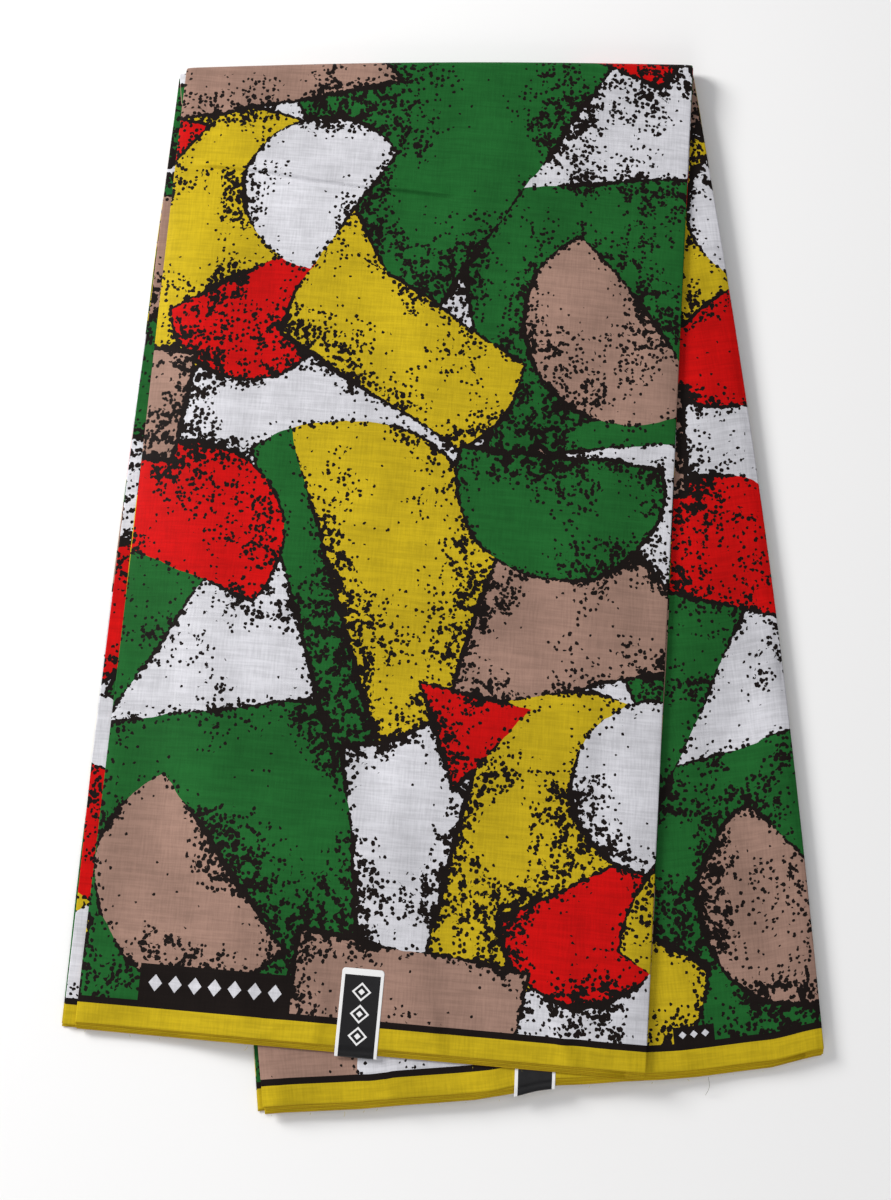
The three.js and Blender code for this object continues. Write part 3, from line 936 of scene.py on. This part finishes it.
labelFilm = {
    "thickness": 0.14,
    "lift": 0.1,            # over the cloth's face
    "cornerRadius": 1.8,
    "edgeLine": 1.7,        # printed white edge along the sides
    "topLine": 3.4,
    "wrap": 2.6,            # how far it runs down over the hem
    "beforeTurn": 0.2,      # where it leaves the face, short of the hem
    "turnRadius": 0.7,
    "afterTurn": 0.4,
    "hemSlope": (4.5, 1.1),  # over the stepped hems: along, down
    "black": "#0b0a0c", "white": "#e9e8e6",
    "lozengeReach": (5.2, 5.0),  # from its middle to its outline: across, along
    "lozengeRing": (0.86, 0.13),  # in those reaches: the ring's middle and half its width
    "lozengeCore": 0.34,
    "scuffSize": 4.0, "scuffBump": 0.08,
}
labels = (
    {"name": "hem_label_film", "node": "hem_label", "strip": "outer", "relief": frontRelief,
     "topLeft": (99.6, -518.6), "topRight": (121.9, -520.6), "down": (-0.0906, -0.9959),
     "lozenges": (12.0, 23.5, 35.0)},
    {"name": "under_label_film", "node": "under_label", "strip": "inner", "relief": rightRelief,
     "topLeft": (191.0, -560.0), "topRight": (212.3, -561.6), "down": (-0.04, -0.9992),
     "lozenges": ()},
)


# Printed sticker film: polypropylene with a gloss face, black with a plain white edge. The
# gloss is broken up by fine scuffs.
def printedFilm(label, width):
    material, tree, shader = newMaterial("printedFilm_" + label["node"])
    uv = addNode(tree, "ShaderNodeUVMap", {"uv_map": "UVMap"})
    parts = addNode(tree, "ShaderNodeSeparateXYZ", {0: uv}).outputs
    acrossReach, alongReach = labelFilm["lozengeReach"]
    aside = addChain(tree, mathKind, parts[0], ("SUBTRACT", width / 2 * mm), ("ABSOLUTE",))
    topEdge = addChain(tree, mathKind, parts[1], ("LESS_THAN", labelFilm["topLine"] * mm))
    white = addChain(tree, mathKind, aside,
                     ("GREATER_THAN", (width / 2 - labelFilm["edgeLine"]) * mm),
                     ("MAXIMUM", topEdge))
    acrossShare = addChain(tree, mathKind, aside, ("DIVIDE", acrossReach * mm))
    for place in label["lozenges"]:
        out = addChain(tree, mathKind, parts[1], ("SUBTRACT", place * mm), ("ABSOLUTE",),
                       ("DIVIDE", alongReach * mm), ("ADD", acrossShare))
        ring = addChain(tree, mathKind, out, ("COMPARE", *labelFilm["lozengeRing"]))
        core = addChain(tree, mathKind, out, ("LESS_THAN", labelFilm["lozengeCore"]))
        white = addChain(tree, mathKind, white, ("MAXIMUM", ring), ("MAXIMUM", core))
    colour = addNode(tree, "ShaderNodeMix", {
        "data_type": "RGBA", 0: white, 6: fromHex(labelFilm["black"]),
        7: fromHex(labelFilm["white"])})
    scuffs = addNode(tree, "ShaderNodeTexNoise", {
        "Vector": uv, "Scale": 1 / (labelFilm["scuffSize"] * mm), "Detail": 3.0})
    gloss = addNode(tree, "ShaderNodeMapRange", {
        "Value": scuffs, "From Min": 0.3, "From Max": 0.7, "To Min": 0.32, "To Max": 0.46})
    bump = addNode(tree, "ShaderNodeBump", {
        "Strength": 0.3, "Distance": labelFilm["scuffBump"] * mm, "Height": scuffs})
    addNode(tree, shader, {"Base Color": colour.outputs[2], "Roughness": gloss,
                           "Specular IOR Level": 0.3, "Normal": bump})
    return material


# Follows the face of its stack down to the hem, then turns over the edge. The reach down to
# the hem is found by steps, column by column.
def labelPiece(label):
    strip = strips[label["strip"]]
    stack = strip["top"]
    leftX, leftY = label["topLeft"]
    rightX, rightY = label["topRight"]
    width = math.hypot(rightX - leftX, rightY - leftY)
    radius = labelFilm["cornerRadius"]
    beside = np.array([0.0, 0.25, 0.6, 1.1, 1.8])
    columns = np.concatenate([beside, np.linspace(3.0, width - 3.0, 12), width - beside[::-1]])
    startX, startY = mix(leftX, rightX, columns / width), mix(leftY, rightY, columns / width)
    near = np.clip(radius - np.minimum(columns, width - columns), 0, radius)
    cutBack = radius - np.sqrt(radius ** 2 - near ** 2)
    downX, downY = label["down"]
    reach = np.full(len(columns), 20.0)
    for _ in range(8):
        x, y = startX + reach * downX, startY + reach * downY
        across = acrossAlong(stack, x, y)[0]
        hemY = planPoint(stack, across, np.ones(len(columns)))[1]
        reach = reach + (y - hemY) / abs(downY)
    share = np.concatenate([[0.0, 0.02, 0.05], np.linspace(0.1, 1.0, 22)])[:, None]
    length = mix(cutBack[None, :], reach[None, :] - labelFilm["beforeTurn"], share)
    x, y = startX + length * downX, startY + length * downY
    faceLevel = layers["leafLevel"] + layers["thickness"] / 2 + labelFilm["lift"]
    base = bendAxis + strip["bendInside"] - settleDrop(stack, x, y)
    slopeLength, slopeDrop = labelFilm["hemSlope"]
    nearHem = smooth((length - reach[None, :] + slopeLength) / slopeLength)
    z = base + faceLevel + label["relief"](x, y) - slopeDrop * nearHem
    turn = np.linspace(0, np.pi / 2, 6)[1:, None]
    turnRadius = labelFilm["turnRadius"]
    roundX, roundY = x[-1] + 0 * turn, y[-1] - turnRadius * np.sin(turn)
    roundZ = z[-1] - turnRadius * (1 - np.cos(turn))
    lowest = labelFilm["wrap"] - slopeDrop - turnRadius
    fall = np.linspace(labelFilm["afterTurn"], lowest, 4)[:, None]
    x = np.concatenate([x, roundX, roundX[-1] + 0 * fall])
    y = np.concatenate([y, roundY, roundY[-1] + 0 * fall])
    z = np.concatenate([z, roundZ, roundZ[-1] - fall])
    points = np.stack([x - originX, y - originY, z], axis=-1)
    v = clothLengths(points) + cutBack[None, :]
    u = np.tile(columns, (len(points), 1))
    made = gridObject(label["name"], points[::-1], u[::-1], v[::-1], printedFilm(label, width))
    addThickness(made, labelFilm["thickness"])
    settleModifiers(made)
    return made


labelPieces = [labelPiece(label) for label in labels]
print("scene: two labels are stuck on")


# Loose ends of thread along the hems, and one pulled thread at the right hem

threads = {
    "radius": 0.08,
    "end": ((0.0, 0.0, 0.0), (0.2, -0.6, 0.1), (-0.1, -1.0, -0.1)),  # one bent end of thread
    "longest": 3.0,         # times that end, which is a millimetre long
    "shortest": 0.05,
    "mostlyShort": 4.0,     # the higher, the fewer long ends
    "spread": 55.0,         # degrees either way
    "perHem": 26,
    "slide": (6.0, 0.4),    # along the hem and up or down, from even places
    "level": 1.6,           # how high in the stack they start
    "inward": 0.7,
    "twist": 0.6,
    "light": "#d8c64a", "dark": "#a08c1c",
    # One thread hangs out of the right hem: place, height over the floor
    "pulled": ((292.6, -575.4, 6.3), (292.9, -577.6, 6.2), (293.2, -579.6, 5.3),
               (293.0, -581.4, 3.9), (292.4, -583.1, 2.4), (291.5, -584.9, 1.3)),
    "pulledRadius": 0.09,
    "pulledLight": "#6d6436", "pulledDark": "#3d3822",
}


# Combed cotton yarn: matt, and lighter and darker along its length as the twist shows
def cottonYarn(name, dark, light):
    material, tree, shader = newMaterial(name)
    place = addNode(tree, "ShaderNodeTexCoord", {}).outputs["Object"]
    twist = addNode(tree, "ShaderNodeTexNoise", {
        "Vector": place, "Scale": 1 / (threads["twist"] * mm)})
    colour = addNode(tree, "ShaderNodeMix", {
        "data_type": "RGBA", 0: twist, 6: fromHex(dark), 7: fromHex(light)})
    addNode(tree, shader, {"Base Color": colour.outputs[2], "Roughness": 0.85})
    return material


# A round yarn along a curve
def yarnAlong(tree, curve, radius, sides):
    ring = addNode(tree, "GeometryNodeCurvePrimitiveCircle", {
        "Resolution": sides, "Radius": radius})
    return addNode(tree, "GeometryNodeCurveToMesh", {
        "Curve": curve, "Profile Curve": ring, "Fill Caps": True})


# Short ends stand out of the hem at uneven places, each turned and sized at random
def threadTree():
    tree, given = newTree("hemThreads", "GeometryNodeTree", {
        "Geometry": "Geometry", "Count": "Int", "Longest": "Float", "Shortest": "Float",
        "Slide": "Vector", "Radius": "Float", "Spread": "Float", "Seed": "Int",
        "Yarn": "Material"}, {"Geometry": "Geometry"})
    chance = "FunctionNodeRandomValue"
    hem = addNode(tree, "GeometryNodeMeshToCurve", {"Mesh": given["Geometry"]})
    ends = addNode(tree, "GeometryNodeCurveToPoints", {
        "mode": "COUNT", "Curve": hem, "Count": given["Count"]})
    back = addNode(tree, vectorKind, {"operation": "SCALE", 0: given["Slide"], "Scale": -1.0})
    slid = addNode(tree, chance, {
        "data_type": "FLOAT_VECTOR", 0: back, 1: given["Slide"], "Seed": given["Seed"]})
    scattered = addNode(tree, "GeometryNodeSetPosition", {"Geometry": ends, "Offset": slid})
    start, middle, tip = ([mm * part for part in place] for place in threads["end"])
    end = addNode(tree, "GeometryNodeCurveQuadraticBezier", {
        "Resolution": 5, "Start": start, "Middle": middle, "End": tip})
    turnedBack = addChain(tree, mathKind, given["Spread"], ("MULTIPLY", -1.0))
    least = addNode(tree, "ShaderNodeCombineXYZ", {2: turnedBack})
    most = addNode(tree, "ShaderNodeCombineXYZ", {2: given["Spread"]})
    turned = addNode(tree, chance, {
        "data_type": "FLOAT_VECTOR", 0: least, 1: most, "Seed": given["Seed"]})
    grown = addNode(tree, chance, {"data_type": "FLOAT", 2: 0.0, 3: 1.0, "Seed": given["Seed"]})
    mostlyShort = addChain(tree, mathKind, grown.outputs[1], ("POWER", threads["mostlyShort"]))
    size = addNode(tree, "ShaderNodeMapRange", {
        "Value": mostlyShort, "From Min": 0.0, "From Max": 1.0, "To Min": given["Shortest"],
        "To Max": given["Longest"]})
    copies = addNode(tree, "GeometryNodeInstanceOnPoints", {
        "Points": scattered, "Instance": end, "Rotation": turned, "Scale": size})
    real = addNode(tree, "GeometryNodeRealizeInstances", {"Geometry": copies})
    return finishTree(tree, yarnAlong(tree, real, given["Radius"], 5), given["Yarn"])


# One thread along a path
def yarnTree():
    tree, given = newTree("yarnOnPath", "GeometryNodeTree", {
        "Geometry": "Geometry", "Radius": "Float", "Steps": "Int", "Yarn": "Material",
    }, {"Geometry": "Geometry"})
    path = addNode(tree, "GeometryNodeMeshToCurve", {"Mesh": given["Geometry"]})
    rounded = addNode(tree, "GeometryNodeCurveSplineType", {
        "spline_type": "CATMULL_ROM", "Curve": path})
    even = addNode(tree, "GeometryNodeResampleCurve", {"Curve": rounded, "Count": given["Steps"]})
    return finishTree(tree, yarnAlong(tree, even, given["Radius"], 6), given["Yarn"])


def pathObject(name, points):
    mesh = bpy.data.meshes.new(name)
    mesh.from_pydata((points * mm).tolist(), [(i, i + 1) for i in range(len(points) - 1)], [])
    return newObject(name, mesh)


def growThreads(name, points, tree, inputs):
    made = pathObject(name, points)
    growing = made.modifiers.new("threads", "NODES")
    growing.node_group = tree
    setInputs(growing, inputs)
    settleModifiers(made)
    return made


# Where the loose ends start, along a hem
def hemPath(strip):
    across = np.linspace(0.01, 0.99, 60)
    x, y = planPoint(strip["top"], across, np.ones(60))
    z = bendAxis + strip["bendInside"] + threads["level"] - settleDrop(strip["top"], x, y)
    return np.stack([x - originX, y + threads["inward"] - originY, z], axis=-1)


yellowYarn = cottonYarn("yellowYarn", threads["dark"], threads["light"])
hemThreads = threadTree()
threadPieces = []
for name, strip, seed in (("front_hem_threads", strips["outer"], 4),
                          ("right_hem_threads", strips["inner"], 11)):
    threadPieces.append(growThreads(name, hemPath(strip), hemThreads, {
        "Count": threads["perHem"], "Longest": threads["longest"],
        "Shortest": threads["shortest"], "Radius": threads["radius"] * mm,
        "Slide": (threads["slide"][0] * mm, 0.0, threads["slide"][1] * mm),
        "Spread": math.radians(threads["spread"]), "Seed": seed, "Yarn": yellowYarn}))
pulledPath = np.array(threads["pulled"]) - np.array([originX, originY, 0.0])
threadPieces.append(growThreads("pulled_thread", pulledPath, yarnTree(), {
    "Radius": threads["pulledRadius"] * mm, "Steps": 24,
    "Yarn": cottonYarn("darkYarn", threads["pulledDark"], threads["pulledLight"])}))
print("scene: loose threads are on the hems")


# The room: a pale floor and soft studio light

room = {
    "floorHalf": 8.0,
    "floorDrop": 0.15,      # millimetres under the cloth, so that the two don't flicker
    "paper": "#f3f2f0",
    "air": "#f6f8ff",
    "airStrength": 0.29,
    # Softboxes aimed at the cloth: place in metres, width, watts
    "softboxes": {"keySoftbox": ((-1.5, 0.85, 1.0), 0.7, 45.0),
                  "fillSoftbox": ((0.4, 0.1, 2.1), 1.4, 7.0),
                  "frontSoftbox": ((-0.3, -2.0, 0.9), 1.2, 15.0)},
}


# Seamless background paper: matt and off-white, with no grain that shows from here
def seamlessPaper():
    material, tree, shader = newMaterial("seamlessPaper")
    addNode(tree, shader, {"Base Color": fromHex(room["paper"]), "Roughness": 0.9})
    return material


floorMesh = bpy.data.meshes.new("studio_floor")
half, depth = room["floorHalf"], -room["floorDrop"] * mm
floorMesh.from_pydata([(-half, -half, depth), (half, -half, depth), (half, half, depth),
                       (-half, half, depth)], [], [(0, 1, 2, 3)])
floorMesh.materials.append(seamlessPaper())
floor = newObject("studio_floor", floorMesh)

world = bpy.data.worlds.new("studioAir")
bpy.context.scene.world = world
world.use_nodes = True
addNode(world.node_tree, world.node_tree.nodes["Background"], {
    "Color": fromHex(room["air"]), "Strength": room["airStrength"]})

for name, (place, width, power) in room["softboxes"].items():
    light = bpy.data.lights.new(name, "AREA")
    light.shape = "SQUARE"
    light.size = width
    light.energy = power
    box = newObject(name, light)
    box.location = place
    box.rotation_euler = (-Vector(place)).to_track_quat("-Z", "Y").to_euler()

# The photo's camera: metres, degrees from straight down, millimetres of lens
view = {"aim": (0.002, -0.0226, 0.0), "distance": 1.05, "tilt": 12.3, "lens": 56.25}
tilt = math.radians(view["tilt"])
forward = Vector((0.0, math.sin(tilt), -math.cos(tilt)))
upward = Vector((0.0, math.cos(tilt), math.sin(tilt)))
sideward = forward.cross(upward)
lens = bpy.data.cameras.new("photoCamera")
lens.lens = view["lens"]
lens.sensor_fit = "VERTICAL"
lens.sensor_height = 36.0
camera = newObject("photoCamera", lens)
turned = Matrix((sideward, upward, -forward)).transposed().to_4x4()
turned.translation = Vector(view["aim"]) - forward * view["distance"]
camera.matrix_world = turned
bpy.context.scene.camera = camera
bpy.context.scene.view_settings.view_transform = "Standard"
print("scene: floor, lights and camera are set")


# What rides on the frame, and what each piece was cut from

for piece, label in zip(labelPieces, labels):
    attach(piece, "root")
    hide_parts(label["node"])
for piece in threadPieces:
    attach(piece, "root")
for piece in (outerLeaf, innerLeaf, outerLayers, innerLayers):
    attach(piece, "root")
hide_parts("front_stack", "back_stack")
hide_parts("right_stack", "left_stack")
